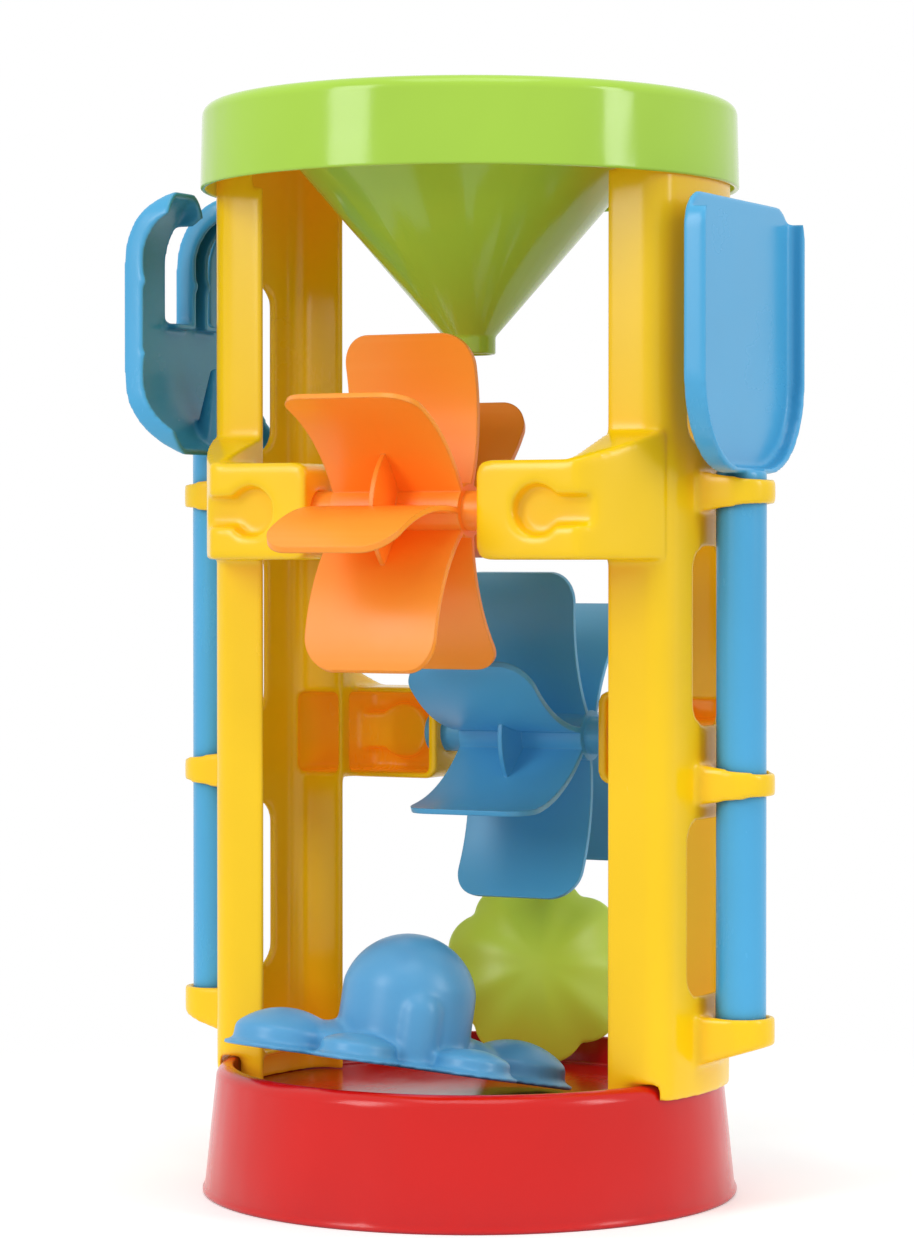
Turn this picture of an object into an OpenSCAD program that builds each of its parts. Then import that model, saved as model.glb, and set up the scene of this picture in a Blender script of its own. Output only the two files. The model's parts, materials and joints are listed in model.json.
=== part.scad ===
// Sand wheel toy: a funnel tower with two paddle wheels, two hand tools and two moulds
// The origin is the centre of the base, on the surface it stands on; +Z is up and -Y is the front

/* [Base tray] */
// How far the foot of the base stands out past its shoulder
foot_splay = 4.4; // [3:0.1:7]
// Outer radius of the base just under its lip
base_top_r = 83.2; // [80:0.2:86]
// Height of the base
base_h = 41.7; // [36:0.1:50]
// Height of the upper face of the deck
deck_top_z = 32; // [24:0.5:34]
// Wall thickness of the base
base_wall = 2.2; // [1.6:0.1:3]
// Radius of the rounded shoulder of the lip
lip_round_r = 4.5; // [2:0.1:5]
// Width of the lip at its top
lip_top_w = 1.2; // [0.6:0.1:3]
// Height of the flared foot
foot_flare_h = 3; // [1:0.5:6]
// How far the foot flares out
foot_flare_w = 0.8; // [0.2:0.1:2]

/* [Pillars] */
// How far the pillars stand out past the base
apron_cover_w = 2.8; // [1.5:0.1:4]
// Depth of a pillar, from its outside to its inner edge
pillar_depth = 23.5; // [20:0.5:28]
// Half the width of a pillar
pillar_half_w = 28; // [24:0.5:30]
// Wall thickness of a pillar
pillar_wall = 2; // [1.6:0.1:3]
// Radius of the outer corners of a pillar
pillar_round_r = 9; // [6:0.5:12]
// Thickness of the foot plate above the lip
foot_plate_h = 2.5; // [2:0.1:4]
// Height that the outer apron covers the side of the base
apron_drop = 5.2; // [3:0.1:7]
// How much deeper the plug in the funnel is cut back
plug_setback = 3.8; // [3:0.1:6]
// Half the width of the large windows
window_half_w = 15; // [10:0.5:17]
// Half the width of the middle window
mid_window_half_w = 11; // [8:0.5:14]
// Corner radius of the windows
window_corner_r = 8; // [4:0.5:10]
// Shares of the tower's height at the ends of the lower window
low_window_shares = [0.0857, 0.2631];
// Shares of the tower's height at the ends of the middle window
mid_window_shares = [0.359, 0.5396];
// Shares of the tower's height at the ends of the upper window
high_window_shares = [0.6451, 0.8235];

/* [Arms] */
// Length of an arm, from the inner edge of the pillar
arm_reach = 32.2; // [30:0.1:34]
// Distance from the axis to the outer face of an arm
arm_face_y = 56; // [54:0.5:58]
// Depth of an arm
arm_depth = 22; // [20:0.5:24]
// Height of an arm
arm_h = 31; // [28:0.5:34]
// Wall thickness of an arm
arm_wall = 2; // [1.6:0.1:2.6]
// Thickness of the bearing wall at the end of an arm
bearing_wall = 3; // [2:0.1:4]
// Height of the slanted shoulder over an arm
shoulder_h = 9; // [4:0.5:14]
// Corner radius of the end of an arm
arm_corner_r = 4; // [2:0.5:6]
// Distance from the inner edge of the pillar to the middle of the round pocket
pocket_setback = 11.5; // [10:0.5:14]
// Radius of the round pocket in the face of an arm
pocket_r = 8; // [5:0.5:9]
// Half the height of the tail of the pocket
pocket_tail_half_h = 4.7; // [3:0.1:6]
// Depth of the pocket
pocket_depth = 5; // [2:0.5:5.5]
// Wall thickness round the pocket
pocket_wall = 1.6; // [1.2:0.1:2]

/* [Wheels] */
// Distance from the axis of the tower to each axle
axle_y = 45; // [44:0.5:46]
// Share of the tower's height at the axle of the upper wheel
upper_axle_share = 0.57641; // [0.56:0.001:0.59]
// Share of the tower's height at the axle of the lower wheel
lower_axle_share = 0.33792; // [0.33:0.001:0.35]
// Gap between the blade tips and the middle between the axles
tip_gap = 2.45; // [2:0.05:8]
// Gap between the blades and the arms
wheel_side_gap = 7.3; // [5:0.1:10]
// Number of blades on a wheel
blade_count = 7; // [5:1:9]
// Thickness of a blade
blade_t = 1.8; // [1.4:0.1:2.4]
// How far a blade bows from a straight line
blade_bow = 6; // [2:0.5:9]
// Corner radius of a blade as a share of half its width
blade_corner_share = 0.435; // [0.2:0.005:0.6]
// Radius of the hub
hub_r = 8.5; // [7.5:0.1:10]
// Radius of the stub axles
stub_r = 6.4; // [5:0.1:7]
// How far a stub axle reaches past the end of an arm
stub_reach = 6.7; // [4:0.1:8]
// Radius of the middle web between the blades
web_r = 23; // [14:0.5:30]
// Thickness of the middle web
web_t = 1.6; // [1:0.1:2.4]
// Turn of the upper wheel at rest, to its first blade
upper_wheel_turn = -12.9; // [-180:0.1:180]
// Turn of the lower wheel at rest, to its first blade
lower_wheel_turn = -24.9; // [-180:0.1:180]

/* [Funnel] */
// Thickness of the skirt outside the pillars
skirt_w = 2; // [1.6:0.1:4]
// How much the skirt narrows to its top
skirt_draft = 0.6; // [0:0.1:1]
// Height of the skirt
skirt_h = 27.5; // [22:0.5:34]
// Height of the top of the toy
top_z = 354.5; // [350:0.5:360]
// Radius of the rounded upper edge
skirt_round_r = 4; // [2:0.5:5]
// Thickness of the flat ring on top
ring_top_t = 2; // [1.6:0.1:3]
// Distance from the outside of the pillars to the mouth of the cone
mouth_setback = 15; // [12:0.5:24]
// Share of the tower's height at the foot of the cone
cone_foot_share = 0.765; // [0.75:0.001:0.78]
// Outer radius of the spout
spout_r = 8.5; // [7:0.1:10]
// Length of the spout
spout_h = 7.4; // [5:0.1:9]
// Wall thickness of the cone and spout
cone_wall = 1.6; // [1.2:0.1:2.4]

/* [Tool holders] */
// Radius of a tool handle
handle_r = 8.1; // [7:0.1:9]
// Share of the tower's height at the upper ring
upper_ring_share = 0.5956; // [0.58:0.001:0.61]
// Share of the tower's height at the lower ring
lower_ring_share = 0.2999; // [0.29:0.001:0.32]
// Height of a ring at the pillar
ring_root_h = 13; // [8:0.5:16]
// Height of a ring at its outer end
ring_tip_h = 7; // [5:0.5:10]
// Wall thickness of the rings and the cup
ring_wall = 2.2; // [1.6:0.1:3]
// Height of the upper edge of the cup
cup_top_z = 62; // [58:0.5:66]
// Height of the floor inside the cup
cup_floor_z = 56; // [54:0.5:57]
// Height of the underside of the cup at the pillar
cup_root_z = 46; // [45:0.5:50]
// Height of the underside of the cup at its outer end
cup_tip_z = 53.5; // [50:0.5:54]

/* [Shovel] */
// Length of the blade of the shovel
shovel_len = 86.8; // [70:0.1:94]
// How far over the top of the upper ring the shovel's lower edge stands
shovel_rise = 0.4; // [0.3:0.05:4]
// Half the width of the shovel
shovel_half_w = 41; // [30:0.5:44]
// Distance from the axis of the handle to the back of the shovel
shovel_setback = 2.2; // [1:0.1:5]
// Depth of the shovel with its rim
shovel_depth = 7.4; // [5:0.1:12]
// Thickness of a tool blade
tool_t = 2; // [1.4:0.1:3]
// Corner radius at the tip of the shovel
shovel_tip_r = 11; // [4:0.5:16]
// Corner radius at the shoulders of the shovel
shovel_shoulder_r = 30; // [16:1:34]
// Length of the tapered spine between a handle and its head
spine_len = 26; // [16:1:34]
// Width of the groove along the back of a handle
grip_groove_w = 7; // [4:0.5:9]
// Depth of the groove along the back of a handle
grip_groove_d = 5; // [2:0.5:6]
// How far under the upper ring the thick collar of a handle begins
collar_drop = 9.5; // [8:0.5:14]

/* [Rake] */
// Length of the rake head
rake_len = 92; // [80:0.5:96]
// Height of the rake head over the middle of the upper ring
rake_rise = 10; // [8:0.5:14]
// Distance from the axis of the handle to the back of the rake
rake_back_w = 13.2; // [10:0.1:20]
// Half the width of the rake
rake_half_w = 38; // [30:0.5:42]
// Corner radius at the shoulders of the rake
rake_shoulder_r = 23; // [16:0.5:23]
// Radius of the curl at the tips of the rake
rake_tip_r = 25; // [20:0.5:30]
// Radius of the curl at the foot of the rake
rake_foot_r = 30; // [26:0.5:36]
// Width of the two outer tines
outer_tine_w = 24; // [20:0.5:26]
// Width of a slot between tines
tine_slot_w = 9; // [6:0.5:10]
// Distance from the shoulders of the rake head to the slots
slot_rise = 48; // [40:0.5:60]
// Depth of the side walls of the tines
tine_side_d = 7.3; // [3:0.1:9]
// Thickness of the side walls of the tines
tine_side_t = 1.8; // [1.4:0.1:3]

/* [Moulds] */
// Wall thickness of the moulds
mould_wall = 1.6; // [1.2:0.1:2.4]
// Width of the flange round the moulds
mould_flange_w = 3; // [2:0.5:5]
// Radius of the dome of the creature mould
dome_r = 21.5; // [18:0.5:24]
// Height of the dome of the creature mould
dome_h = 43; // [38:0.5:46]
// Radius of the side fins of the creature mould
fin_r = 17; // [12:0.5:20]
// Height of the side fins of the creature mould
fin_h = 14; // [12:0.5:20]
// Distance from the dome to the side fins
fin_reach = 37; // [28:0.5:42]
// Radius of the crowns of the fins and paws of the creature mould
fin_crown_r = 24; // [18:0.5:30]
// Radius of the crown of the dome of the creature mould
dome_crown_r = 22; // [21.5:0.5:30]
// Radius of the snout of the creature mould
snout_r = 8; // [5:0.5:10]
// Height of the snout of the creature mould
snout_h = 26; // [18:0.5:32]
// Distance from the middle of the dome to the snout
snout_reach = 16; // [12:0.5:20]
// Radius of the paws of the creature mould
paw_r = 12; // [9:0.5:14]
// Height of the paws of the creature mould
paw_h = 9; // [6:0.5:12]
// Distance from the dome to the paws
paw_reach = 27; // [20:0.5:30]
// Middle of the creature mould: to the right, from the front wall and over the deck
creature_place = [-6.6, 40.5, 11.8];
// Tilt of the creature mould, its left side up
creature_tilt = 8; // [6:0.5:9]
// Tilt of the creature mould, its front up
creature_pitch = 7.5; // [6:0.5:8]
// Turn of both moulds about the upright axis
mould_turn = 27; // [0:1:40]
// Radius of the shell mould
shell_r = 26.5; // [22:0.5:30]
// Number of scallops of the shell mould
scallop_count = 9; // [6:1:12]
// Radius of one scallop of the shell mould
scallop_r = 12; // [8:0.5:14]
// Height of the shell mould
shell_h = 17; // [12:0.5:20]
// Radius of the crown of the shell mould
shell_dome_r = 46; // [40:1:60]
// Middle of the shell mould: to the right, from the back wall and over the deck
shell_place = [-9.2, 6.9, 32.2];
// Lean of the shell mould towards the back
shell_lean = 14; // [8:0.5:16]

/* [Hidden] */

// Roundness of curves
$fn = 96;
// Steps of a short arc in an outline
ARC_STEPS = 8;

// One overrun for every cut
cut_over = 1;
// Gap between curved faces of different pieces
face_gap = 0.3;
// Radial clearance of an axle in its bearing
axle_fit = 0.06;
// Radial clearance of a handle in its ring
handle_fit = 0.5;

// Shares of the reach at which the paws stand
paw_front_share = 0.85;
paw_side_share = 0.7;
// Share of a fin's radius and height at its root
root_share = 0.9;
// Share of the handle's radius at its rounded foot
foot_share = 0.8;

red = [0.86, 0.13, 0.10];
yellow = [1.0, 0.78, 0.06];
lime = [0.60, 0.82, 0.20];
orange = [1.0, 0.47, 0.10];
blue = [0.18, 0.55, 0.82];

base_foot_r = base_top_r + foot_splay;
base_inner_r = base_top_r - lip_round_r - lip_top_w;
tower_h = top_z - base_h;
low_window_z = [for (share = low_window_shares) base_h + share * tower_h];
mid_window_z = [for (share = mid_window_shares) base_h + share * tower_h];
high_window_z = [for (share = high_window_shares) base_h + share * tower_h];
upper_axle_z = base_h + upper_axle_share * tower_h;
lower_axle_z = base_h + lower_axle_share * tower_h;
upper_ring_z = base_h + upper_ring_share * tower_h;
lower_ring_z = base_h + lower_ring_share * tower_h;
cone_foot_z = base_h + cone_foot_share * tower_h;
spout_bottom_z = cone_foot_z - spout_h;
skirt_bottom_z = top_z - skirt_h;

pillar_r = base_top_r + apron_cover_w;
pillar_inner_x = pillar_r - pillar_depth;
skirt_r = pillar_r + skirt_w;
cone_mouth_r = pillar_r - mouth_setback;
foot_z = base_h + face_gap;
plug_z = skirt_bottom_z + pillar_wall;
plug_x = pillar_inner_x + plug_setback;
ring_bottom_z = top_z - ring_top_t;

arm_end_x = pillar_inner_x - arm_reach;
arm_inner_y = arm_face_y - arm_depth;
hollow_x = arm_end_x + bearing_wall;
pocket_x = pillar_inner_x - pocket_setback;
axle_rise = upper_axle_z - lower_axle_z;
wheel_r = sqrt(4 * axle_y * axle_y + axle_rise * axle_rise) / 2 - tip_gap;
blade_w = 2 * (arm_end_x - wheel_side_gap);
blade_corner_r = blade_corner_share * blade_w / 2;
stub_end_x = arm_end_x + stub_reach;

tool_x = skirt_r + face_gap + handle_r;
ring_bore_r = handle_r + handle_fit;
ring_out_r = ring_bore_r + ring_wall;
holder_tip_x = tool_x + ring_out_r;
collar_z = upper_ring_z - collar_drop;
holder_lean_share = (ring_root_h - ring_tip_h) / 2 / (holder_tip_x + cut_over - pillar_r + pillar_wall);
shovel_back_x = tool_x - shovel_setback;
holder_top_z = upper_ring_z + ring_root_h / 2 - holder_lean_share * (shovel_back_x - pillar_r + pillar_wall);
shovel_bottom_z = holder_top_z + shovel_rise;
shovel_top_z = shovel_bottom_z + shovel_len;
rake_bottom_z = upper_ring_z + rake_rise;
rake_top_z = rake_bottom_z + rake_len;
slot_foot_z = rake_bottom_z + slot_rise;
rake_out_x = tool_x + rake_back_w;
mid_tine_w = 2 * (rake_half_w - outer_tine_w - tine_slot_w);
apron_r = base_top_r + 2 * face_gap;
tower_half = pillar_r + cut_over;

// Points of an arc in an outline
function arc(centre, r, from, to, steps = ARC_STEPS) =
    [for (i = [0 : steps])
        let (a = from + (to - from) * i / steps)
        [centre[0] + r * cos(a), centre[1] + r * sin(a)]];

// A rectangle from one corner to the opposite one
module span_square(low, high) {
    translate(low)
        square([high[0] - low[0], high[1] - low[1]]);
}

// A box from one corner to the opposite one
module span_cube(low, high) {
    translate(low)
        cube([high[0] - low[0], high[1] - low[1], high[2] - low[2]]);
}

// A rectangle of half width half_w, from low to high, with corner radii for its ends
module rounded_span(half_w, low, high, low_r, high_r) {
    span_square([-half_w, low + low_r], [half_w, high - high_r]);
    span_square([low_r - half_w, low], [half_w - low_r, low + low_r + cut_over]);
    span_square([high_r - half_w, high - high_r - cut_over], [half_w - high_r, high]);
    for (side = [-1, 1]) {
        translate([side * (half_w - low_r), low + low_r])
            circle(r = low_r);
        translate([side * (half_w - high_r), high - high_r])
            circle(r = high_r);
    }
}

// Turns an outline in Y and Z into a bar along X, from one X to another
module along_x(from, to) {
    translate([from, 0, 0])
        rotate([90, 0, 90])
            linear_extrude(to - from)
                children();
}

// Turns an outline in X and Z into a bar along Y, of half width half_w
module along_y(half_w) {
    translate([0, half_w, 0])
        rotate([90, 0, 0])
            linear_extrude(2 * half_w)
                children();
}

// Stands children up between two heights
module between(low, high) {
    translate([0, 0, low])
        linear_extrude(high - low)
            children();
}

module base_profile() {
    shoulder = [base_top_r - lip_round_r, base_h - lip_round_r];
    polygon(concat(
        [[base_foot_r - base_wall, 0], [base_foot_r, 0],
         [base_foot_r, foot_flare_h / 2], [base_foot_r - foot_flare_w, foot_flare_h]],
        arc(shoulder, lip_round_r, 0, 90),
        [[base_inner_r, base_h], [base_inner_r, deck_top_z], [0, deck_top_z],
         [0, deck_top_z - base_wall], [base_top_r - base_wall, deck_top_z - base_wall]]));
}

module base_tray() {
    color(red)
        rotate_extrude()
            base_profile();
}

// Plan of one pillar, filled, with its outer corners rounded
module pillar_plan(outer_r, inner_x, half_w = pillar_half_w, round_r = pillar_round_r) {
    turn = asin((half_w - round_r) / (outer_r - round_r));
    round_x = (outer_r - round_r) * cos(turn);
    low_arc = arc([round_x, round_r - half_w], round_r, -90, -turn);
    far_arc = arc([0, 0], outer_r, -turn, turn);
    high_arc = arc([round_x, half_w - round_r], round_r, turn, 90);
    polygon(concat([[inner_x, half_w], [inner_x, -half_w]], low_arc,
                   [for (i = [1 : ARC_STEPS - 1]) far_arc[i]], high_arc));
}

// Plan of the channel: the filled plan less its hollow
module channel_plan(outer_r, inner_x) {
    difference() {
        pillar_plan(outer_r, inner_x);
        pillar_plan(outer_r - pillar_wall, inner_x - cut_over, pillar_half_w - pillar_wall,
                    pillar_round_r - pillar_wall);
    }
}

// Plan of one front arm, from its end to the round outside
module arm_plan() {
    intersection() {
        circle(r = pillar_r);
        union() {
            span_square([arm_end_x, -arm_face_y], [tower_half, -arm_inner_y]);
            span_square([pillar_inner_x, -arm_face_y], [tower_half, pillar_wall - pillar_half_w]);
        }
    }
}

// Outline of the face of an arm, seen from the front
module arm_face(z) {
    intersection() {
        translate([arm_end_x, 0])
            span_square([0, z - arm_h / 2], [tower_half, z + arm_h / 2]);
        union() {
            span_square([arm_end_x + arm_corner_r, z - arm_h / 2],
                        [tower_half, z + arm_h / 2]);
            span_square([arm_end_x, z + arm_corner_r - arm_h / 2],
                        [tower_half, z - arm_corner_r + arm_h / 2]);
            for (side = [-1, 1])
                translate([arm_end_x + arm_corner_r, z + side * (arm_h / 2 - arm_corner_r)])
                    circle(r = arm_corner_r);
        }
    }
}

// Outline of the pocket in the face of an arm, seen from the front
module pocket_outline(z, grow = 0) {
    translate([pocket_x, z])
        circle(r = pocket_r + grow);
    span_square([pocket_x, z - pocket_tail_half_h - grow],
                [tower_half, z + pocket_tail_half_h + grow]);
}

// Outer form of one front arm with its shoulder
module arm_solid(z) {
    intersection() {
        between(z - arm_h / 2, z + arm_h / 2)
            arm_plan();
        along_y(tower_half)
            arm_face(z);
    }
    intersection() {
        cylinder(r = pillar_r, h = top_z);
        along_x(pillar_inner_x, tower_half)
            polygon([[-arm_face_y, z + arm_h / 2],
                     [-pillar_half_w, z + arm_h / 2 + shoulder_h],
                     [pillar_wall - pillar_half_w, z + arm_h / 2 + shoulder_h],
                     [pillar_wall - pillar_half_w, z + arm_h / 2],
                     [pillar_wall - pillar_half_w, z],
                     [-arm_face_y, z]]);
    }
}

// Hollow of one front arm, open to the inside of the tower
module arm_hollow(z) {
    between(z - arm_h / 2 + arm_wall, z + arm_h / 2 - arm_wall)
        intersection() {
            circle(r = pillar_r - pillar_wall);
            union() {
                span_square([hollow_x, arm_wall - arm_face_y], [tower_half, cut_over - arm_inner_y]);
                span_square([pillar_inner_x + pillar_wall, arm_wall - arm_face_y],
                            [tower_half, pillar_wall - pillar_half_w + cut_over]);
            }
        }
}

// The wall behind the pocket of one front arm
module pocket_boss(z) {
    intersection() {
        translate([0, pocket_depth + pocket_wall - arm_face_y, 0])
            rotate([90, 0, 0])
                linear_extrude(pocket_depth + pocket_wall - arm_wall / 2)
                    pocket_outline(z, pocket_wall);
        cylinder(r = pillar_r - pillar_wall / 2, h = top_z);
    }
}

// Pocket in the face of one front arm, cut to its depth
module arm_pocket(z) {
    translate([0, pocket_depth - arm_face_y, 0])
        rotate([90, 0, 0])
            linear_extrude(pocket_depth + cut_over)
                pocket_outline(z);
}

// The bearing bore at the end of one front arm
module bearing_bore(z) {
    translate([arm_end_x - cut_over, -axle_y, z])
        rotate([0, 90, 0])
            cylinder(r = stub_r + axle_fit, h = bearing_wall + 2 * cut_over);
}

// A window through the outer wall
module window(half_w, heights) {
    along_x(pillar_inner_x, tower_half)
        rounded_span(half_w, heights[0], heights[1], window_corner_r, window_corner_r);
}

// Plan of a ring or cup round a handle
module holder_plan() {
    translate([tool_x, 0])
        circle(r = ring_out_r);
    span_square([pillar_r - pillar_wall, -ring_out_r], [tool_x, ring_out_r]);
}

// A bar across a holder whose top and underside lean from the pillar to the outer end
module holder_wedge(root_low, root_high, tip_low, tip_high) {
    along_y(ring_out_r + cut_over)
        polygon([[pillar_r - pillar_wall, root_low], [holder_tip_x + cut_over, tip_low],
                 [holder_tip_x + cut_over, tip_high], [pillar_r - pillar_wall, root_high]]);
}

// A ring on the pillar, lower at its outer end
module holder_ring(z) {
    intersection() {
        linear_extrude(top_z)
            difference() {
                holder_plan();
                translate([tool_x, 0])
                    circle(r = ring_bore_r);
                circle(r = pillar_r - pillar_wall / 2);
            }
        holder_wedge(z - ring_root_h / 2, z + ring_root_h / 2, z - ring_tip_h / 2, z + ring_tip_h / 2);
    }
}

// The cup that a handle stands in
module holder_cup() {
    difference() {
        intersection() {
            linear_extrude(cup_top_z)
                difference() {
                    holder_plan();
                    circle(r = pillar_r - pillar_wall / 2);
                }
            holder_wedge(cup_root_z, cup_top_z + cut_over, cup_tip_z, cup_top_z + cut_over);
        }
        translate([tool_x, 0, cup_floor_z])
            cylinder(r = ring_bore_r, h = cup_top_z);
    }
}

// The upright of a pillar with its foot and its plug, without its arms
module upright() {
    between(foot_z, plug_z)
        channel_plan(pillar_r, pillar_inner_x);
    between(foot_z, foot_z + foot_plate_h)
        pillar_plan(pillar_r, pillar_inner_x);
    between(deck_top_z, foot_z + pillar_wall)
        channel_plan(base_inner_r - face_gap, pillar_inner_x);
    between(foot_z - apron_drop, foot_z + pillar_wall)
        difference() {
            pillar_plan(pillar_r, pillar_inner_x);
            circle(r = apron_r);
        }
    between(plug_z - pillar_wall, ring_bottom_z)
        channel_plan(pillar_r, plug_x);
}

// One pillar, at the right; the left one is its mirror image
module pillar() {
    difference() {
        union() {
            difference() {
                union() {
                    upright();
                    arm_solid(upper_axle_z);
                    mirror([0, 1, 0])
                        arm_solid(lower_axle_z);
                }
                arm_hollow(upper_axle_z);
                mirror([0, 1, 0])
                    arm_hollow(lower_axle_z);
            }
            pocket_boss(upper_axle_z);
            mirror([0, 1, 0])
                pocket_boss(lower_axle_z);
            holder_ring(upper_ring_z);
            holder_ring(lower_ring_z);
            holder_cup();
        }
        arm_pocket(upper_axle_z);
        bearing_bore(upper_axle_z);
        mirror([0, 1, 0]) {
            arm_pocket(lower_axle_z);
            bearing_bore(lower_axle_z);
        }
        window(window_half_w, low_window_z);
        window(mid_window_half_w, mid_window_z);
        window(window_half_w, high_window_z);
    }
}

module right_pillar() {
    color(yellow)
        pillar();
}

module left_pillar() {
    color(yellow)
        mirror([1, 0, 0])
            pillar();
}

module funnel_profile() {
    top_r = skirt_r - skirt_draft - skirt_round_r;
    mouth_out_r = cone_mouth_r + cone_wall / 2;
    polygon(concat(
        [[pillar_r + face_gap, skirt_bottom_z], [skirt_r, skirt_bottom_z]],
        arc([top_r, top_z - skirt_round_r], skirt_round_r, 0, 90),
        [[cone_mouth_r, top_z], [spout_r - cone_wall, cone_foot_z],
         [spout_r - cone_wall, spout_bottom_z], [spout_r, spout_bottom_z],
         [spout_r, cone_foot_z - cone_wall], [mouth_out_r, ring_bottom_z],
         [pillar_r + face_gap, ring_bottom_z]]));
}

module funnel() {
    color(lime)
        rotate_extrude()
            funnel_profile();
}

// Section of one blade, pointing away from the axle, with its bow up or down
module blade_section(bow_side) {
    chord = wheel_r - hub_r / 2;
    bow_r = (chord * chord / 4 + blade_bow * blade_bow) / (2 * blade_bow);
    middle = (wheel_r + hub_r / 2) / 2;
    centre = [middle, bow_side * (blade_bow - bow_r)];
    intersection() {
        difference() {
            translate(centre)
                circle(r = bow_r + blade_t / 2);
            translate(centre)
                circle(r = bow_r - blade_t / 2);
        }
        span_square([hub_r / 2, -wheel_r], [wheel_r + cut_over, wheel_r]);
    }
}

// Half of the outline that a turning wheel fills, with its rounded corners
module wheel_outline() {
    half_w = blade_w / 2;
    span_square([0, -half_w], [wheel_r - blade_corner_r, half_w]);
    span_square([0, blade_corner_r - half_w], [wheel_r, half_w - blade_corner_r]);
    for (side = [-1, 1])
        translate([wheel_r - blade_corner_r, side * (half_w - blade_corner_r)])
            circle(r = blade_corner_r);
}

// A wheel on its axle along X, with its first blade at the front
module wheel(bow_side, turn) {
    intersection() {
        along_x(-blade_w / 2 - cut_over, blade_w / 2 + cut_over)
            union() {
                circle(r = hub_r);
                for (i = [0 : blade_count - 1])
                    rotate(180 - turn - i * 360 / blade_count)
                        blade_section(bow_side);
            }
        rotate([0, 90, 0])
            rotate_extrude()
                wheel_outline();
    }
    rotate([0, 90, 0])
        cylinder(r = stub_r, h = 2 * stub_end_x, center = true);
    rotate([0, 90, 0])
        cylinder(r = web_r, h = web_t, center = true);
}

module upper_wheel() {
    color(orange)
        translate([0, -axle_y, upper_axle_z])
            wheel(-1, upper_wheel_turn);
}

module lower_wheel() {
    color(blue)
        translate([0, axle_y, lower_axle_z])
            wheel(1, lower_wheel_turn);
}

// The handle of a tool, from its cup to its blade
module handle(top) {
    difference() {
        union() {
            translate([tool_x, 0, cup_floor_z + handle_r / 2])
                cylinder(r = handle_r, h = top - cup_floor_z - handle_r / 2);
            translate([tool_x, 0, cup_floor_z])
                cylinder(r1 = handle_r * foot_share, r2 = handle_r, h = handle_r / 2);
        }
        span_cube([tool_x - handle_r - cut_over, -grip_groove_w / 2, cup_top_z + handle_r],
                  [tool_x - handle_r + grip_groove_d, grip_groove_w / 2, collar_z - handle_r]);
    }
}

// The scoop of the shovel: a flat back with a rim round its sides and shoulders
module shovel_blade() {
    rim_x = shovel_back_x + shovel_depth;
    difference() {
        along_x(shovel_back_x, rim_x)
            rounded_span(shovel_half_w, shovel_bottom_z, shovel_top_z,
                         shovel_shoulder_r, shovel_tip_r);
        along_x(shovel_back_x + tool_t, rim_x + cut_over)
            rounded_span(shovel_half_w - tool_t, shovel_bottom_z + tool_t, shovel_top_z + shovel_tip_r,
                         shovel_shoulder_r - tool_t, cut_over);
    }
}

// The spine behind a tool head, narrowing upwards from the handle
module spine(low) {
    translate([tool_x, 0, low - cut_over])
        cylinder(r1 = handle_r, r2 = tool_t, h = spine_len);
}

module shovel() {
    color(blue) {
        handle(shovel_bottom_z + tool_t / 2);
        shovel_blade();
        intersection() {
            spine(shovel_bottom_z);
            span_cube([pillar_inner_x, -shovel_half_w, shovel_bottom_z - cut_over],
                      [shovel_back_x + tool_t / 2, shovel_half_w, shovel_top_z]);
        }
    }
}

// Side view of the rake head, filled, at a depth inside its back
module rake_profile(depth) {
    out_x = rake_out_x - depth;
    low = rake_bottom_z + depth;
    high = rake_top_z - depth;
    span_square([0, low + rake_foot_r], [out_x, high - rake_tip_r]);
    span_square([0, low], [rake_out_x - rake_foot_r, high]);
    translate([rake_out_x - rake_foot_r, rake_bottom_z + rake_foot_r])
        circle(r = rake_foot_r - depth);
    translate([rake_out_x - rake_tip_r, rake_top_z - rake_tip_r])
        circle(r = rake_tip_r - depth);
}

// Curved band of the rake head, between two depths from its back
module rake_band(from_d, to_d) {
    intersection() {
        along_y(rake_half_w + cut_over)
            difference() {
                rake_profile(from_d);
                rake_profile(to_d);
            }
        span_cube([tool_x - handle_r / 2, -rake_half_w - cut_over, rake_bottom_z - cut_over],
                  [rake_out_x + cut_over, rake_half_w + cut_over, rake_top_z + cut_over]);
    }
}

// One tine seen from its back, with a round tip
module tine_outline(middle, width, inset) {
    foot = slot_foot_z - inset - cut_over;
    span_square([middle + inset - width / 2, foot], [middle - inset + width / 2, rake_top_z - width / 2]);
    translate([middle, rake_top_z - width / 2])
        circle(r = width / 2 - inset);
}

// Outline of the rake head seen from its back, or of the hollow inside its rims
module rake_outline(inset) {
    outer_y = rake_half_w - outer_tine_w / 2;
    rounded_span(rake_half_w - inset, rake_bottom_z + inset, slot_foot_z - inset,
                 rake_shoulder_r - inset, cut_over);
    tine_outline(0, mid_tine_w, inset);
    for (side = [-1, 1])
        tine_outline(side * outer_y, outer_tine_w, inset);
}

// The open sides of the outer tines, towards the slots
module tine_openings() {
    slot_y = rake_half_w - outer_tine_w;
    for (side = [-1, 1])
        span_square([side * (slot_y + outer_tine_w / 4) - outer_tine_w / 4 - cut_over, slot_foot_z],
                    [side * (slot_y + outer_tine_w / 4) + outer_tine_w / 4 + cut_over,
                     rake_top_z - outer_tine_w / 2]);
}

// The rake, at the right like the pillar; it is mirrored to the left
module rake_body() {
    handle(rake_bottom_z + handle_r);
    intersection() {
        rake_band(0, tool_t);
        along_x(pillar_inner_x, rake_out_x + cut_over)
            rake_outline(0);
    }
    intersection() {
        rake_band(tool_t / 2, tine_side_d);
        along_x(pillar_inner_x, rake_out_x + cut_over)
            difference() {
                rake_outline(0);
                rake_outline(tine_side_t);
                tine_openings();
            }
    }
    intersection() {
        spine(rake_bottom_z + handle_r);
        along_y(rake_half_w)
            rake_profile(tool_t / 2);
    }
}

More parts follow.
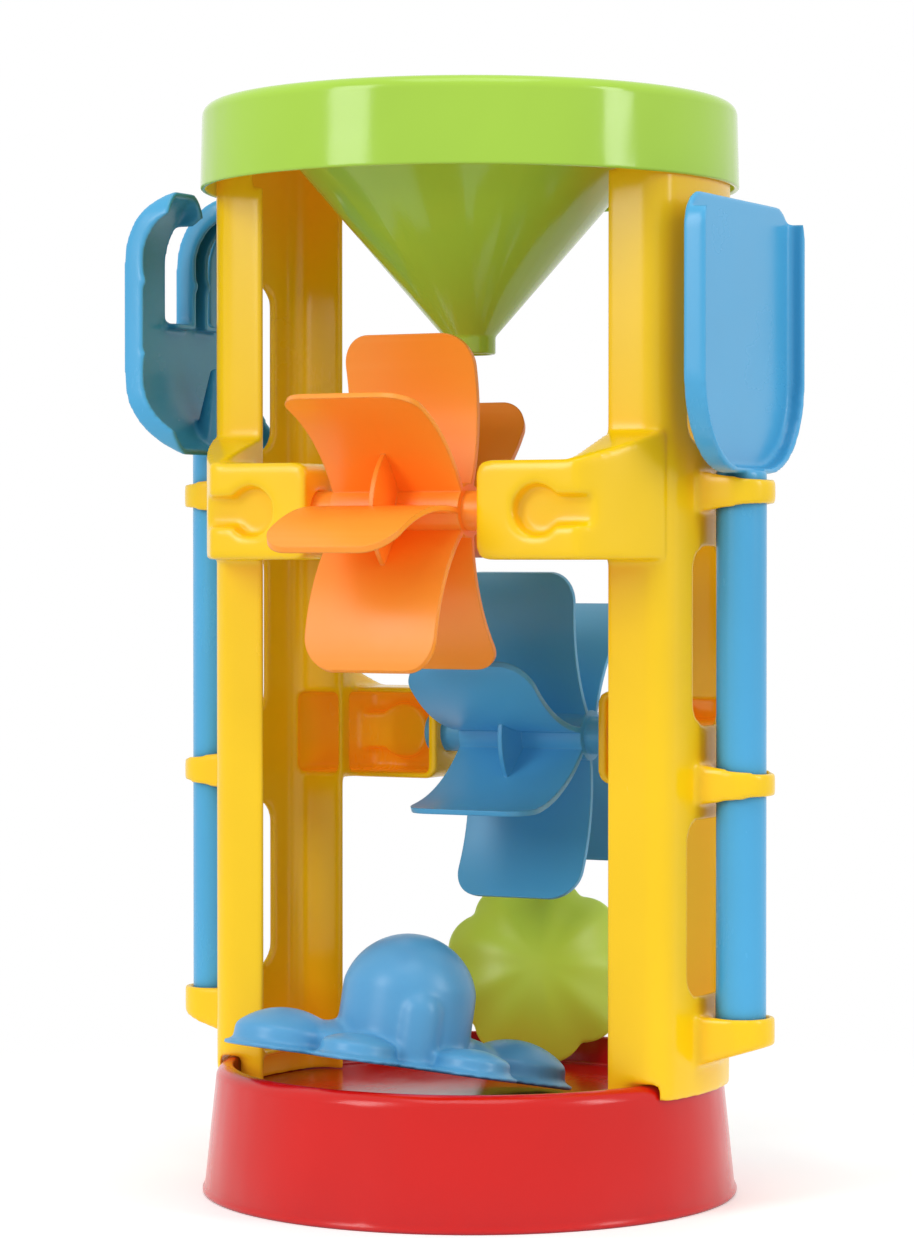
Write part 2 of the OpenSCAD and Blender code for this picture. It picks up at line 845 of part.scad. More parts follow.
module rake() {
    color(blue)
        mirror([1, 0, 0])
            rake_body();
}

// A round lobe of a mould: an upright side under a crown of a given radius
module lobe(r, h, crown_r) {
    rotate_extrude()
        intersection() {
            union() {
                translate([0, h - crown_r])
                    circle(r = crown_r);
                square([crown_r, max(h - crown_r, cut_over)]);
            }
            square([r, h]);
        }
}

// Lobes of the creature mould: place, radius, height and radius of the crown
function creature_lobes() = [
    [[0, 0], dome_r, dome_h, dome_crown_r],
    [[-fin_reach, 0], fin_r, fin_h, fin_crown_r],
    [[-fin_reach / 2, 0], fin_r * root_share, fin_h * root_share, fin_crown_r],
    [[fin_reach, fin_reach / 2], fin_r, fin_h, fin_crown_r],
    [[fin_reach / 2, fin_reach / 4], fin_r * root_share, fin_h * root_share, fin_crown_r],
    [[snout_r / 2, -snout_reach], snout_r, snout_h, snout_r],
    [[-paw_reach / 2, -paw_reach * paw_front_share], paw_r, paw_h, fin_crown_r],
    [[paw_reach * paw_front_share, -paw_reach * paw_side_share], paw_r, paw_h, fin_crown_r]];

// The creature mould in its own frame, its open side down
module creature_form(shrink) {
    for (part = creature_lobes())
        translate([part[0][0], part[0][1], 0])
            lobe(part[1] - shrink, part[2] - shrink, part[3] - shrink);
}

module creature_flange() {
    for (part = creature_lobes())
        translate([part[0][0], part[0][1], 0])
            cylinder(r = part[1] + mould_flange_w, h = mould_wall);
}

module creature_mould() {
    color(blue)
        translate([creature_place[0], creature_place[1] - base_inner_r,
                   creature_place[2] + deck_top_z])
            rotate([-creature_pitch, creature_tilt, mould_turn])
                difference() {
                    union() {
                        creature_form(0);
                        creature_flange();
                    }
                    translate([0, 0, -cut_over / 2])
                        creature_form(mould_wall);
                }
}

// Plan of the scalloped shell mould
module shell_plan(shrink) {
    circle(r = shell_r - shrink);
    for (i = [0 : scallop_count - 1])
        rotate([0, 0, i * 360 / scallop_count])
            translate([shell_r - scallop_r / 2, 0])
                circle(r = scallop_r - shrink);
}

// The scalloped shell mould in its own frame, its open side down
module shell_form(shrink) {
    intersection() {
        between(-shrink, shell_h)
            shell_plan(shrink);
        translate([0, 0, shell_h - shell_dome_r])
            sphere(r = shell_dome_r - shrink);
    }
}

module shell_mould() {
    color(lime)
        translate([shell_place[0], base_inner_r - shell_place[1],
                   shell_place[2] + deck_top_z])
            rotate([90 - shell_lean, 0, mould_turn])
                difference() {
                    shell_form(0);
                    shell_form(mould_wall);
                }
}

base_tray();
left_pillar();
right_pillar();
funnel();
upper_wheel();
lower_wheel();
shovel();
rake();
creature_mould();
shell_mould();
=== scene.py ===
"""Dresses the sand wheel toy: rounded glossy mouldings, soft studio light and the camera."""

from __future__ import annotations

import json
import logging
import math
from dataclasses import dataclass
from enum import Enum

import bmesh
import bpy
from mathutils import Matrix, Vector

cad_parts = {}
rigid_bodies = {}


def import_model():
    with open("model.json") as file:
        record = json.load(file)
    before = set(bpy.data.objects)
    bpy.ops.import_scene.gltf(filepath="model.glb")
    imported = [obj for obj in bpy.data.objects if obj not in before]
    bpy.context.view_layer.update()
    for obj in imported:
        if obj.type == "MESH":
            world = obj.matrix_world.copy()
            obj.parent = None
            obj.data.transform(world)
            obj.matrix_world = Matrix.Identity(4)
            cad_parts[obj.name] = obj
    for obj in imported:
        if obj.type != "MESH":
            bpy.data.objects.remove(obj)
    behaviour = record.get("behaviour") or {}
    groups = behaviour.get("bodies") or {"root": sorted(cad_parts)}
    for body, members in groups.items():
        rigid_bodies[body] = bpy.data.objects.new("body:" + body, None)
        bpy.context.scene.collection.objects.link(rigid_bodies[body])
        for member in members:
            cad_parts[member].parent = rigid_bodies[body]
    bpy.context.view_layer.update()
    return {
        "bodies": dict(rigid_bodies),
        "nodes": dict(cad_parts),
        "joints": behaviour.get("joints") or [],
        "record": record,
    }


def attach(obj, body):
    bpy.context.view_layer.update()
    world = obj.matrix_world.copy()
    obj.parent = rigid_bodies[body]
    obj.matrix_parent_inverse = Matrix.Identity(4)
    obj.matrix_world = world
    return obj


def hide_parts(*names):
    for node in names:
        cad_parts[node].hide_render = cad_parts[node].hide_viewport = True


LOG = logging.getLogger("sand_wheel_toy")
MM = 0.001
PHOTO_W = 914
PHOTO_H = 1238
MERGE_GAP = 0.004 * MM
TINY_EDGE = 0.01 * MM
FLAT_DEGREES = 0.4
EDGE_DEGREES = 30.0
CREASE_DEGREES = 40.0
DEEP_SHARE = 0.965
SMOOTH_FACTOR = 0.5
ROUND_PROFILE = 0.5
MIX_FIRST = 6
MIX_SECOND = 7
MIX_RESULT = 2
Colour = tuple[float, float, float]
Triple = tuple[float, float, float]
Range = tuple[float, float]


def linear(red: int, green: int, blue: int) -> Colour:
    """Turns a display colour of 0 to 255 into a linear one.

    Args:
        red: The red part.
        green: The green part.
        blue: The blue part.

    Returns:
        The same colour in linear values.
    """
    parts = [part / 255 for part in (red, green, blue)]
    low = [part / 12.92 if part <= 0.04045 else ((part + 0.055) / 1.055) ** 2.4 for part in parts]
    return low[0], low[1], low[2]


class Skin(Enum):
    """How the walls of a moulding meet."""

    CRISP = "rounded edges between flat and turned faces"
    SOFT = "walls that run into each other"


@dataclass(frozen=True)
class Plastic:
    """A moulded plastic with soft flow marks, painted shade, bounce light and emission in its
    hollows, fine grain and paler sharp edges.
    """

    name: str
    slot: str
    base: Colour
    deep: Colour
    # Painted shade and bounce light: the colour an occlusion mask mixes into hollows, also the
    # colour of the painted emission there.
    painted_shade_and_glow: Colour
    roughness: float = 0.2
    subsurface: float = 0.0
    # Painted light: the strength of an emission in hollows, standing in for light that passes a
    # thin wall.
    painted_glow: float = 0.0
    sheen: float = 0.4
    refraction: float = 1.49
    skin_depth: float = 0.003
    skin_colours: Colour = (1.0, 0.6, 0.3)
    hollow_reach: float = 0.045
    hollow_range: Range = (0.2, 0.72)
    hollow_samples: int = 6
    flow_scale: float = 13.0
    flow_detail: float = 3.0
    flow_twist: float = 0.6
    flow_range: Range = (0.35, 0.7)
    # Paler colour on sharp convex edges, where the pointiness is high.
    pale_edge_range: Range = (0.53, 0.64)
    pale_edge_share: float = 0.12
    pale_edge_gain: float = 1.08
    pale_edge_lift: float = 0.05
    smudge_scale: float = 32.0
    smudge_detail: float = 4.0
    scratch_scale: float = 700.0
    scratch_detail: float = 2.0
    scratch_share: float = 0.25
    scratch_stretch: Triple = (1.0, 0.12, 0.3)
    scratch_turn: Triple = (0.9, 0.5, 0.7)
    mark_range: Range = (0.4, 0.85)
    gloss_range: Range = (-0.04, 0.06)
    grain_scale: float = 1600.0
    grain_detail: float = 2.0
    grain_height: float = 0.02 * MM
    grain_strength: float = 0.3
    ripple_scale: float = 20.0
    ripple_detail: float = 1.0
    ripple_height: float = 0.2 * MM
    ripple_strength: float = 0.5
    edge_radius: float = 0.7 * MM
    edge_samples: int = 4

    def material(self) -> bpy.types.Material:
        """Builds the node material of this plastic.

        Returns:
            The material, ready to be given to a piece.
        """
        mat = bpy.data.materials.new(self.name)
        mat.use_nodes = True
        tree = mat.node_tree
        shader = tree.nodes["Principled BSDF"]
        place = tree.nodes.new("ShaderNodeTexCoord")
        self._colour(tree, place, shader)
        self._gloss(tree, place, shader)
        self._relief(tree, place, shader)
        shader.inputs["IOR"].default_value = self.refraction
        shader.inputs["Specular IOR Level"].default_value = self.sheen
        if self.subsurface > 0.0:
            shader.inputs["Subsurface Weight"].default_value = self.subsurface
            shader.inputs["Subsurface Radius"].default_value = self.skin_colours
            shader.inputs["Subsurface Scale"].default_value = self.skin_depth
        return mat

    def _noise(
        self, tree: bpy.types.NodeTree, place: bpy.types.Node, scale: float, detail: float
    ) -> bpy.types.Node:
        """Adds a noise over object coordinates.

        Args:
            tree: The material's node tree.
            place: The texture coordinate node.
            scale: The noise's scale in turns per metre.
            detail: The number of finer layers.

        Returns:
            The noise node.
        """
        noise = tree.nodes.new("ShaderNodeTexNoise")
        noise.inputs["Scale"].default_value = scale
        noise.inputs["Detail"].default_value = detail
        tree.links.new(place.outputs["Object"], noise.inputs["Vector"])
        return noise

    def _spread(
        self, tree: bpy.types.NodeTree, value: bpy.types.NodeSocket, source: Range, target: Range
    ) -> bpy.types.Node:
        """Adds a map from one range of values to another.

        Args:
            tree: The material's node tree.
            value: The socket that gives the value.
            source: The lowest and highest value that come in.
            target: The values that they become.

        Returns:
            The map range node.
        """
        spread = tree.nodes.new("ShaderNodeMapRange")
        spread.inputs["From Min"].default_value, spread.inputs["From Max"].default_value = source
        spread.inputs["To Min"].default_value, spread.inputs["To Max"].default_value = target
        tree.links.new(value, spread.inputs["Value"])
        return spread

    def _mix(
        self,
        tree: bpy.types.NodeTree,
        share: bpy.types.NodeSocket,
        first: Colour | bpy.types.NodeSocket,
        second: Colour,
    ) -> bpy.types.NodeSocket:
        """Adds a mix of a colour or socket with a second colour.

        Args:
            tree: The material's node tree.
            share: The socket that gives the second colour's share.
            first: The first colour, or a socket that gives it.
            second: The second colour.

        Returns:
            The socket of the mixed colour.
        """
        mix = tree.nodes.new("ShaderNodeMix")
        mix.data_type = "RGBA"
        mix.inputs[MIX_SECOND].default_value = (*second, 1.0)
        if isinstance(first, tuple):
            mix.inputs[MIX_FIRST].default_value = (*first, 1.0)
        else:
            tree.links.new(first, mix.inputs[MIX_FIRST])
        tree.links.new(share, mix.inputs["Factor"])
        return mix.outputs[MIX_RESULT]

    def _colour(
        self, tree: bpy.types.NodeTree, place: bpy.types.Node, shader: bpy.types.Node
    ) -> None:
        """Mixes the plastic's tones: flow marks, painted shade and bounce light in hollows, paler
        sharp edges.

        Painted light: an emission in the hollows stands in for the light that a thin wall passes
        from its far side.

        Args:
            tree: The material's node tree.
            place: The texture coordinate node.
            shader: The surface shader.
        """
        flow = self._noise(tree, place, self.flow_scale, self.flow_detail)
        flow.inputs["Distortion"].default_value = self.flow_twist
        flow_share = self._spread(tree, flow.outputs["Fac"], self.flow_range, (0.0, 1.0))
        colour = self._mix(tree, flow_share.outputs["Result"], self.base, self.deep)
        # Painted shade: an occlusion mask mixes the shade and bounce light colour into hollows.
        shade = tree.nodes.new("ShaderNodeAmbientOcclusion")
        shade.samples = self.hollow_samples
        shade.inputs["Distance"].default_value = self.hollow_reach
        shade_share = self._spread(tree, shade.outputs["AO"], self.hollow_range, (1.0, 0.0))
        colour = self._mix(tree, shade_share.outputs["Result"], colour, self.painted_shade_and_glow)
        # Painted light: an emission in hollows stands in for light that passes a thin wall.
        if self.painted_glow > 0.0:
            share = shade_share.outputs["Result"]
            painted_glow_strength = self._spread(tree, share, (0.0, 1.0), (0.0, self.painted_glow))
            shader.inputs["Emission Color"].default_value = (*self.painted_shade_and_glow, 1.0)
            tree.links.new(painted_glow_strength.outputs["Result"], shader.inputs["Emission Strength"])
        # Paler colour on sharp convex edges.
        edge = tree.nodes.new("ShaderNodeNewGeometry")
        pale_edge_target = (0.0, self.pale_edge_share)
        pale_edge_share = self._spread(tree, edge.outputs["Pointiness"], self.pale_edge_range, pale_edge_target)
        pale = tuple(min(1.0, part * self.pale_edge_gain + self.pale_edge_lift) for part in self.base)
        colour = self._mix(tree, pale_edge_share.outputs["Result"], colour, pale)
        tree.links.new(colour, shader.inputs["Base Color"])

    def _gloss(
        self, tree: bpy.types.NodeTree, place: bpy.types.Node, shader: bpy.types.Node
    ) -> None:
        """Varies the roughness with handling marks and short fine scratches.

        Args:
            tree: The material's node tree.
            place: The texture coordinate node.
            shader: The surface shader.
        """
        smudge = self._noise(tree, place, self.smudge_scale, self.smudge_detail)
        stretch = tree.nodes.new("ShaderNodeMapping")
        stretch.inputs["Scale"].default_value = self.scratch_stretch
        stretch.inputs["Rotation"].default_value = self.scratch_turn
        tree.links.new(place.outputs["Object"], stretch.inputs["Vector"])
        scratch = tree.nodes.new("ShaderNodeTexNoise")
        scratch.inputs["Scale"].default_value = self.scratch_scale
        scratch.inputs["Detail"].default_value = self.scratch_detail
        tree.links.new(stretch.outputs["Vector"], scratch.inputs["Vector"])
        both = tree.nodes.new("ShaderNodeMath")
        both.operation = "MULTIPLY_ADD"
        both.inputs[1].default_value = self.scratch_share
        tree.links.new(scratch.outputs["Fac"], both.inputs[0])
        tree.links.new(smudge.outputs["Fac"], both.inputs[2])
        gloss = (self.roughness + self.gloss_range[0], self.roughness + self.gloss_range[1])
        spread = self._spread(tree, both.outputs["Value"], self.mark_range, gloss)
        tree.links.new(spread.outputs["Result"], shader.inputs["Roughness"])

    def _relief(
        self, tree: bpy.types.NodeTree, place: bpy.types.Node, shader: bpy.types.Node
    ) -> None:
        """Adds softened edges, the shallow ripple of a moulding and the fine grain of its tool.

        Args:
            tree: The material's node tree.
            place: The texture coordinate node.
            shader: The surface shader.
        """
        soft = tree.nodes.new("ShaderNodeBevel")
        soft.samples = self.edge_samples
        soft.inputs["Radius"].default_value = self.edge_radius
        ripple = self._noise(tree, place, self.ripple_scale, self.ripple_detail)
        low = tree.nodes.new("ShaderNodeBump")
        low.inputs["Strength"].default_value = self.ripple_strength
        low.inputs["Distance"].default_value = self.ripple_height
        tree.links.new(ripple.outputs["Fac"], low.inputs["Height"])
        tree.links.new(soft.outputs["Normal"], low.inputs["Normal"])
        grain = self._noise(tree, place, self.grain_scale, self.grain_detail)
        fine = tree.nodes.new("ShaderNodeBump")
        fine.inputs["Strength"].default_value = self.grain_strength
        fine.inputs["Distance"].default_value = self.grain_height
        tree.links.new(grain.outputs["Fac"], fine.inputs["Height"])
        tree.links.new(low.outputs["Normal"], fine.inputs["Normal"])
        tree.links.new(fine.outputs["Normal"], shader.inputs["Normal"])


def plastic(
    name: str,
    slot: str,
    base: tuple[int, int, int],
    painted_shade_and_glow: tuple[int, int, int],
    roughness: float,
    subsurface: float = 0.0,
    painted_glow: float = 0.0,
) -> Plastic:
    """Describes a plastic by its display colours.

    Args:
        name: The material's name.
        slot: The material slot of the record that it belongs to; not used.
        base: The colour in the open, 0 to 255.
        painted_shade_and_glow: The painted shade and bounce light deep in hollows, which also
            colours the painted emission, 0 to 255.
        roughness: The mean roughness.
        subsurface: How much light spreads under the skin.
        painted_glow: The strength of a painted emission in hollows, standing in for light that
            passes a wall.

    Returns:
        The plastic.
    """
    deep = tuple(int(part * DEEP_SHARE) for part in base)
    tones = linear(*base), linear(*deep), linear(*painted_shade_and_glow)
    return Plastic(name, slot, *tones, roughness, subsurface, painted_glow)


@dataclass(frozen=True)
class Palette:
    """The toy's plastics."""

    # Each plastic's second colour is the painted shade and bounce light of its hollows; a last
    # number after the subsurface is the strength of a painted emission there.
    red: Plastic = plastic("red_gloss", "red_plastic", (206, 16, 8), (150, 10, 26), 0.18)
    yellow: Plastic = plastic(
        "yellow_gloss", "yellow_plastic", (251, 206, 10), (255, 176, 34), 0.22, 0.0, 0.1
    )
    lime: Plastic = plastic(
        "lime_gloss", "lime_plastic", (166, 208, 66), (188, 190, 58), 0.14, 0.0, 0.18
    )
    orange: Plastic = plastic(
        "orange_satin", "orange_plastic", (255, 156, 50), (255, 140, 30), 0.34, 0.1, 0.05
    )
    wheel_blue: Plastic = plastic(
        "wheel_blue_satin", "blue_plastic", (80, 166, 214), (70, 150, 198), 0.34, 0.0, 0.15
    )
    tool_blue: Plastic = plastic(
        "tool_blue_gloss", "blue_plastic", (76, 170, 220), (30, 112, 150), 0.24
    )
    mould_blue: Plastic = plastic(
        "mould_blue_satin", "blue_plastic", (84, 158, 206), (60, 132, 180), 0.34
    )
    mould_lime: Plastic = plastic(
        "mould_lime_satin", "lime_plastic", (190, 218, 70), (186, 200, 56), 0.36, 0.1, 0.15
    )


def sharpen(bm: bmesh.types.BMesh, angle: float) -> None:
    """Smooths every face and keeps the edges that are sharper than an angle.

    Args:
        bm: The mesh.
        angle: The angle in degrees.
    """
    limit = math.radians(angle)
    for face in bm.faces:
        face.smooth = True
    for edge in bm.edges:
        edge.smooth = len(edge.link_faces) == 2 and edge.calc_face_angle(0.0) < limit


def round_edges(bm: bmesh.types.BMesh, width: float, segments: int, angle: float) -> None:
    """Bevels every edge that is sharper than an angle.

    Args:
        bm: The mesh.
        width: The width of the rounding in metres.
        segments: The number of steps across the rounding.
        angle: The angle in degrees.
    """
    limit = math.radians(angle)
    folds = [edge for edge in bm.edges if len(edge.link_faces) == 2]
    edges = [edge for edge in folds if edge.calc_face_angle(0.0) > limit]
    bmesh.ops.bevel(
        bm,
        geom=edges,
        offset=width,
        offset_type="OFFSET",
        segments=segments,
        profile=ROUND_PROFILE,
        affect="EDGES",
        clamp_overlap=True,
        material=-1,
    )


def merged_copy(node: bpy.types.Object) -> bmesh.types.BMesh:
    """Copies a CAD node's loose triangles into one closed mesh, welding their shared corners and
    dissolving degenerate bits.

    Args:
        node: The CAD node.

    Returns:
        The merged mesh.
    """
    bm = bmesh.new()
    bm.from_mesh(node.data)
    bmesh.ops.remove_doubles(bm, verts=bm.verts, dist=MERGE_GAP)
    bmesh.ops.dissolve_degenerate(bm, edges=bm.edges, dist=TINY_EDGE)
    return bm


def smoothed(bm: bmesh.types.BMesh, voxel: float, passes: int) -> bmesh.types.BMesh:
    """Lays a solid on an even mesh and smooths it, so that its walls run into each other.

    Args:
        bm: The solid, which is freed.
        voxel: The mesh width in metres.
        passes: The number of smoothing passes.

    Returns:
        The smoothed mesh.
    """
    mesh = bpy.data.meshes.new("rough")
    bm.to_mesh(mesh)
    bm.free()
    rough = bpy.data.objects.new("rough", mesh)
    bpy.context.scene.collection.objects.link(rough)
    even = rough.modifiers.new("even", "REMESH")
    even.mode = "VOXEL"
    even.voxel_size = voxel
    soft = rough.modifiers.new("soft", "SMOOTH")
    soft.factor = SMOOTH_FACTOR
    soft.iterations = passes
    ready = rough.evaluated_get(bpy.context.evaluated_depsgraph_get())
    smooth = bpy.data.meshes.new_from_object(ready)
    bpy.data.objects.remove(rough)
    result = bmesh.new()
    result.from_mesh(smooth)
    bpy.data.meshes.remove(smooth)
    bpy.data.meshes.remove(mesh)
    for face in result.faces:
        face.smooth = True
    return result


@dataclass
class Piece:
    """One moulding of the toy, which stands for one CAD node."""

    node: str
    body: str
    finish: Plastic
    skin: Skin = Skin.CRISP
    edge_r: float = 0.6 * MM
    segments: int = 3
    voxel: float = 0.8 * MM
    passes: int = 9

    def form(self, source: bpy.types.Object) -> bmesh.types.BMesh:
        """Makes the piece's mesh in the way that its skin asks for.

        Args:
            source: The CAD node.

        Returns:
            The mesh.
        """
        bm = merged_copy(source)
        if self.skin is Skin.SOFT:
            return smoothed(bm, self.voxel, self.passes)
        bmesh.ops.dissolve_limit(
            bm,
            angle_limit=math.radians(FLAT_DEGREES),
            verts=bm.verts,
            edges=bm.edges,
            use_dissolve_boundaries=False,
        )
        round_edges(bm, self.edge_r, self.segments, EDGE_DEGREES)
        sharpen(bm, CREASE_DEGREES)
        return bm

    def dress(self, piece: bpy.types.Object) -> None:
        """Gives the object its plastic, and a crisp one its even shading.

        Args:
            piece: The object.
        """
        piece.data.materials.append(self.finish.material())
        if self.skin is Skin.CRISP:
            weighted = piece.modifiers.new("weighted", "WEIGHTED_NORMAL")
            weighted.keep_sharp = True

    def build(self, frame: dict) -> bpy.types.Object:
        """Builds the piece and puts it in its CAD node's place.


        Returns:
            The new object.
        """
        name = self.node + "_moulded"
        mesh = bpy.data.meshes.new(name)
        bm = self.form(frame["nodes"][self.node])
        bm.to_mesh(mesh)
        bm.free()
        piece = bpy.data.objects.new(name, mesh)
        bpy.context.scene.collection.objects.link(piece)
        self.dress(piece)
        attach(piece, self.body)
        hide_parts(self.node)
        LOG.info("%s: %d faces, %s", name, len(mesh.polygons), self.skin.value)
        return piece


@dataclass
class Tower:
    """The fixed part of the toy: the tray, the two pillars and the funnel."""

    palette: Palette
    body: str = "tower"
    turned_edge_r: float = 0.7 * MM
    pillar_voxel: float = 0.95 * MM
    pillar_passes: int = 9

    def pillar(self, node: str) -> Piece:
        """Describes one pillar, whose ribs, rings and cup grow softly out of it.

        Args:
            node: The CAD node.

        Returns:
            The pillar's piece.
        """
        return Piece(
            node,
            self.body,
            self.palette.yellow,
            Skin.SOFT,
            voxel=self.pillar_voxel,
            passes=self.pillar_passes,
        )

    def build(self, frame: dict) -> list[bpy.types.Object]:
        """Builds the tower from the tray up.


        Returns:
            The new objects.
        """
        pieces = [
            Piece("base_tray", self.body, self.palette.red, edge_r=self.turned_edge_r),
            self.pillar("left_pillar"),
            self.pillar("right_pillar"),
            Piece("funnel", self.body, self.palette.lime, edge_r=self.turned_edge_r),
        ]
        return [piece.build(frame) for piece in pieces]


@dataclass
class PaddleWheel(Piece):
    """A wheel of curved blades with its two stub axles, which rides on a body of its own name."""

    edge_r: float = 0.5 * MM


@dataclass
class HandTool(Piece):
    """A hand tool, moulded with its handle."""

    skin: Skin = Skin.SOFT


@dataclass
class SandMould(Piece):
    """A thin sand mould, open below."""

    skin: Skin = Skin.SOFT
    passes: int = 18


@dataclass
class ShellMould(SandMould):
    """The scalloped mould, with a shallow valley between each two of its scallops."""

    passes: int = 8
    centre: Triple = (-9.2 * MM, 70.6 * MM, 64.2 * MM)
    lean: float = 76.0
    turn: float = 27.0
    scallops: int = 9
    rim_r: float = 32.5 * MM
    flange_h: float = 1.5 * MM
    rise_h: float = 4.5 * MM
    valley: float = 1.8 * MM

    def form(self, source: bpy.types.Object) -> bmesh.types.BMesh:
        """Presses the valleys into the smoothed dome, towards its open side.

        Args:
            source: The CAD node.

        Returns:
            The mesh.
        """
        bm = super().form(source)
        place = Matrix.Translation(self.centre)
        place @= Matrix.Rotation(math.radians(self.turn), 4, "Z")
        place @= Matrix.Rotation(math.radians(self.lean), 4, "X")
        back = place.inverted()
        for vert in bm.verts:
            spot = back @ vert.co
            if spot.z < self.flange_h:
                continue
            reach = min(1.0, math.hypot(spot.x, spot.y) / self.rim_r)
            rise = min(1.0, (spot.z - self.flange_h) / self.rise_h)
            wave = 0.5 - 0.5 * math.cos(self.scallops * math.atan2(spot.y, spot.x))
            spot.z -= self.valley * wave * rise * reach * reach
            vert.co = place @ spot
        return bm


@dataclass(frozen=True)
class SoftBox:
    """A rectangular soft light that faces the toy. Its angle is to the right of the camera."""

    name: str
    degrees: float
    height: float
    distance: float
    size: tuple[float, float]
    watts: float


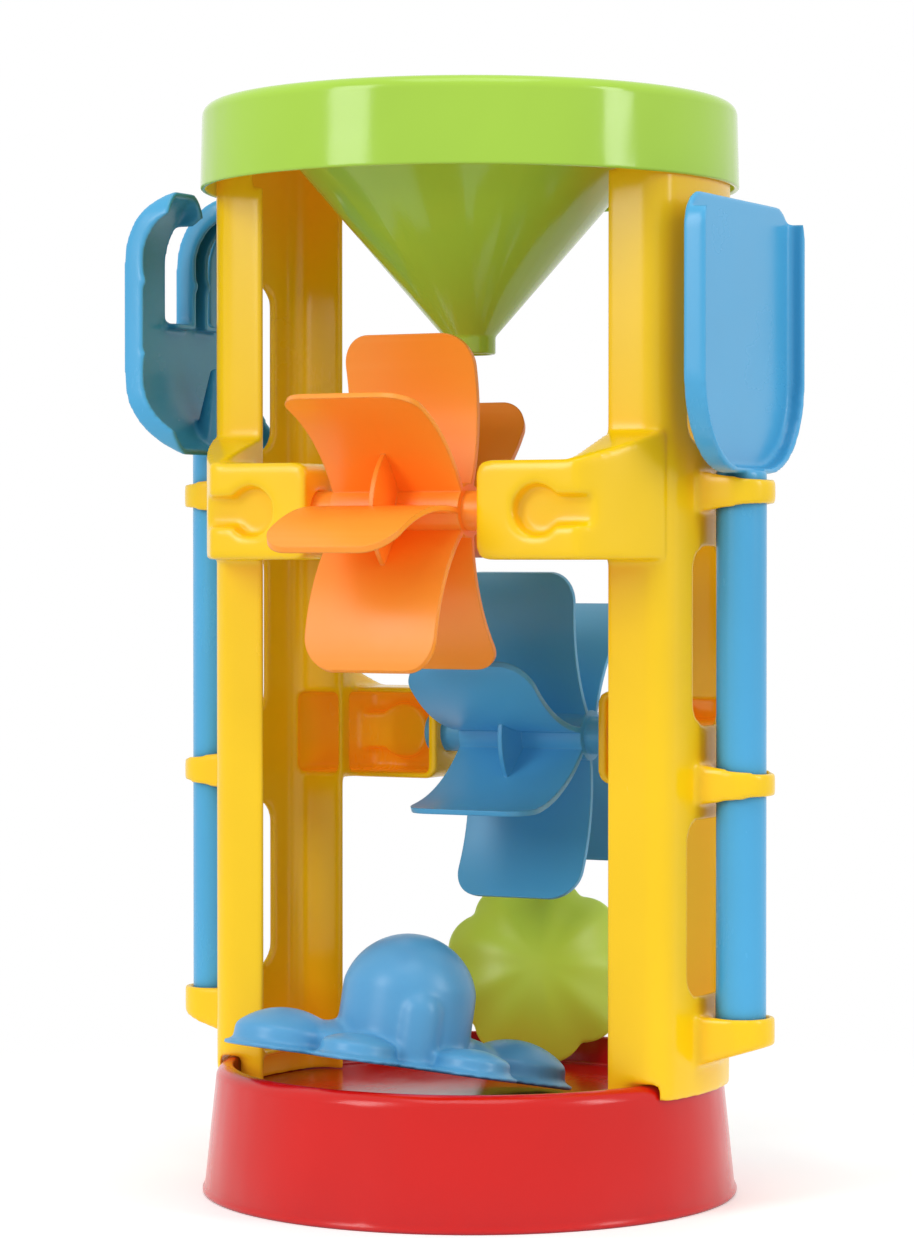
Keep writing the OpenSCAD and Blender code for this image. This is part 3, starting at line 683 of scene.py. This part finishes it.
@dataclass
class Studio:
    """The pale floor, the white surroundings, the soft boxes and the camera."""

    azimuth: float = 27.0
    distance: float = 1.237
    eye_height: float = 0.208
    focal_px: float = 3772.0
    axis_px: float = 469.7
    horizon_px: float = 555.0
    fill: float = 0.68
    fade_from: float = 0.12
    fade_to: float = 0.4
    floor_glow: float = 0.2
    floor_grey: float = 0.93
    floor_roughness: float = 0.6
    floor_steps: int = 96
    floor_margin: float = 1.02
    sensor_height: float = 36.0
    light_aim: float = 0.18
    left_box: SoftBox = SoftBox("left_box", -51.0, 0.84, 1.5, (0.5, 0.9), 9.0)
    right_box: SoftBox = SoftBox("right_box", 63.0, 0.84, 1.6, (0.36, 0.9), 7.0)
    top_box: SoftBox = SoftBox("top_box", 0.0, 1.7, 0.5, (1.0, 1.0), 7.0)

    def direction(self, degrees: float) -> Vector:
        """The level direction from the toy at an angle to the right of the camera.

        Args:
            degrees: The angle from the camera's direction.

        Returns:
            A unit vector.
        """
        angle = math.radians(self.azimuth + degrees)
        return Vector((math.sin(angle), -math.cos(angle), 0.0))

    def camera(self) -> None:
        """Places the camera as the photograph's perspective gives it."""
        data = bpy.data.cameras.new("camera")
        data.sensor_fit = "VERTICAL"
        data.sensor_height = self.sensor_height
        data.lens = self.focal_px / PHOTO_H * data.sensor_height
        eye = self.direction(0.0) * self.distance + Vector((0.0, 0.0, self.eye_height))
        right = self.direction(90.0)
        scale = self.distance / self.focal_px
        aim = right * (PHOTO_W / 2 - self.axis_px) * scale
        aim.z = self.eye_height - (PHOTO_H / 2 - self.horizon_px) * scale
        cam = bpy.data.objects.new("camera", data)
        cam.location = eye
        cam.rotation_euler = (aim - eye).to_track_quat("-Z", "Y").to_euler()
        bpy.context.scene.collection.objects.link(cam)
        bpy.context.scene.camera = cam

    def light(self, box: SoftBox) -> None:
        """Adds a soft box and turns it to the toy.

        Args:
            box: The soft box.
        """
        data = bpy.data.lights.new(box.name, "AREA")
        data.shape = "RECTANGLE"
        data.size, data.size_y = box.size
        data.energy = box.watts
        lamp = bpy.data.objects.new(box.name, data)
        lamp.location = self.direction(box.degrees) * box.distance + Vector((0.0, 0.0, box.height))
        aim = Vector((0.0, 0.0, self.light_aim))
        lamp.rotation_euler = (aim - lamp.location).to_track_quat("-Z", "Y").to_euler()
        bpy.context.scene.collection.objects.link(lamp)

    def surroundings(self) -> None:
        """Makes the world white where it is seen and softer where it only lights."""
        world = bpy.data.worlds.new("studio")
        bpy.context.scene.world = world
        world.use_nodes = True
        nodes = world.node_tree.nodes
        links = world.node_tree.links
        back = nodes["Background"]
        path = nodes.new("ShaderNodeLightPath")
        first = nodes.new("ShaderNodeMath")
        first.operation = "MAXIMUM"
        links.new(path.outputs["Is Camera Ray"], first.inputs[0])
        links.new(path.outputs["Is Transmission Ray"], first.inputs[1])
        second = nodes.new("ShaderNodeMath")
        second.operation = "MAXIMUM"
        links.new(first.outputs["Value"], second.inputs[0])
        links.new(path.outputs["Is Glossy Ray"], second.inputs[1])
        level = nodes.new("ShaderNodeMapRange")
        level.inputs["To Min"].default_value = self.fill
        level.inputs["To Max"].default_value = 1.0
        links.new(second.outputs["Value"], level.inputs["Value"])
        back.inputs["Color"].default_value = (1.0, 1.0, 1.0, 1.0)
        links.new(level.outputs["Result"], back.inputs["Strength"])

    def floor(self) -> None:
        """Lays the pale floor, which keeps the toy's shadow and fades into the white around it."""
        bm = bmesh.new()
        radius = self.fade_to * self.floor_margin
        bmesh.ops.create_circle(bm, cap_ends=True, segments=self.floor_steps, radius=radius)
        mesh = bpy.data.meshes.new("floor")
        bm.to_mesh(mesh)
        bm.free()
        mat = bpy.data.materials.new("pale_floor")
        mat.use_nodes = True
        nodes = mat.node_tree.nodes
        links = mat.node_tree.links
        shader = nodes["Principled BSDF"]
        grey = self.floor_grey
        shader.inputs["Base Color"].default_value = (grey, grey, grey, 1.0)
        shader.inputs["Roughness"].default_value = self.floor_roughness
        shader.inputs["Emission Color"].default_value = (1.0, 1.0, 1.0, 1.0)
        shader.inputs["Emission Strength"].default_value = self.floor_glow
        place = nodes.new("ShaderNodeTexCoord")
        away = nodes.new("ShaderNodeVectorMath")
        away.operation = "LENGTH"
        links.new(place.outputs["Object"], away.inputs[0])
        fade = nodes.new("ShaderNodeMapRange")
        fade.interpolation_type = "SMOOTHSTEP"
        fade.inputs["From Min"].default_value = self.fade_from
        fade.inputs["From Max"].default_value = self.fade_to
        links.new(away.outputs["Value"], fade.inputs["Value"])
        clear = nodes.new("ShaderNodeBsdfTransparent")
        mix = nodes.new("ShaderNodeMixShader")
        links.new(fade.outputs["Result"], mix.inputs["Fac"])
        links.new(shader.outputs["BSDF"], mix.inputs[1])
        links.new(clear.outputs["BSDF"], mix.inputs[2])
        links.new(mix.outputs["Shader"], nodes["Material Output"].inputs["Surface"])
        mesh.materials.append(mat)
        plane = bpy.data.objects.new("floor", mesh)
        bpy.context.scene.collection.objects.link(plane)

    def build(self) -> None:
        """Sets up the whole studio."""
        self.camera()
        self.surroundings()
        self.floor()
        for box in (self.left_box, self.right_box, self.top_box):
            self.light(box)
        bpy.context.scene.view_settings.view_transform = "Standard"
        LOG.info("studio ready")


def main() -> None:
    """Builds the toy piece by piece, then the studio."""
    logging.basicConfig(level=logging.INFO, format="%(name)s: %(message)s")
    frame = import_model()
    Studio().build()
    palette = Palette()
    Tower(palette).build(frame)
    PaddleWheel("upper_wheel", "upper_wheel", palette.orange).build(frame)
    PaddleWheel("lower_wheel", "lower_wheel", palette.wheel_blue).build(frame)
    HandTool("shovel", "shovel", palette.tool_blue).build(frame)
    HandTool("rake", "rake", palette.tool_blue).build(frame)
    SandMould("creature_mould", "creature_mould", palette.mould_blue).build(frame)
    ShellMould("shell_mould", "shell_mould", palette.mould_lime).build(frame)


if __name__ == "__main__":
    main()
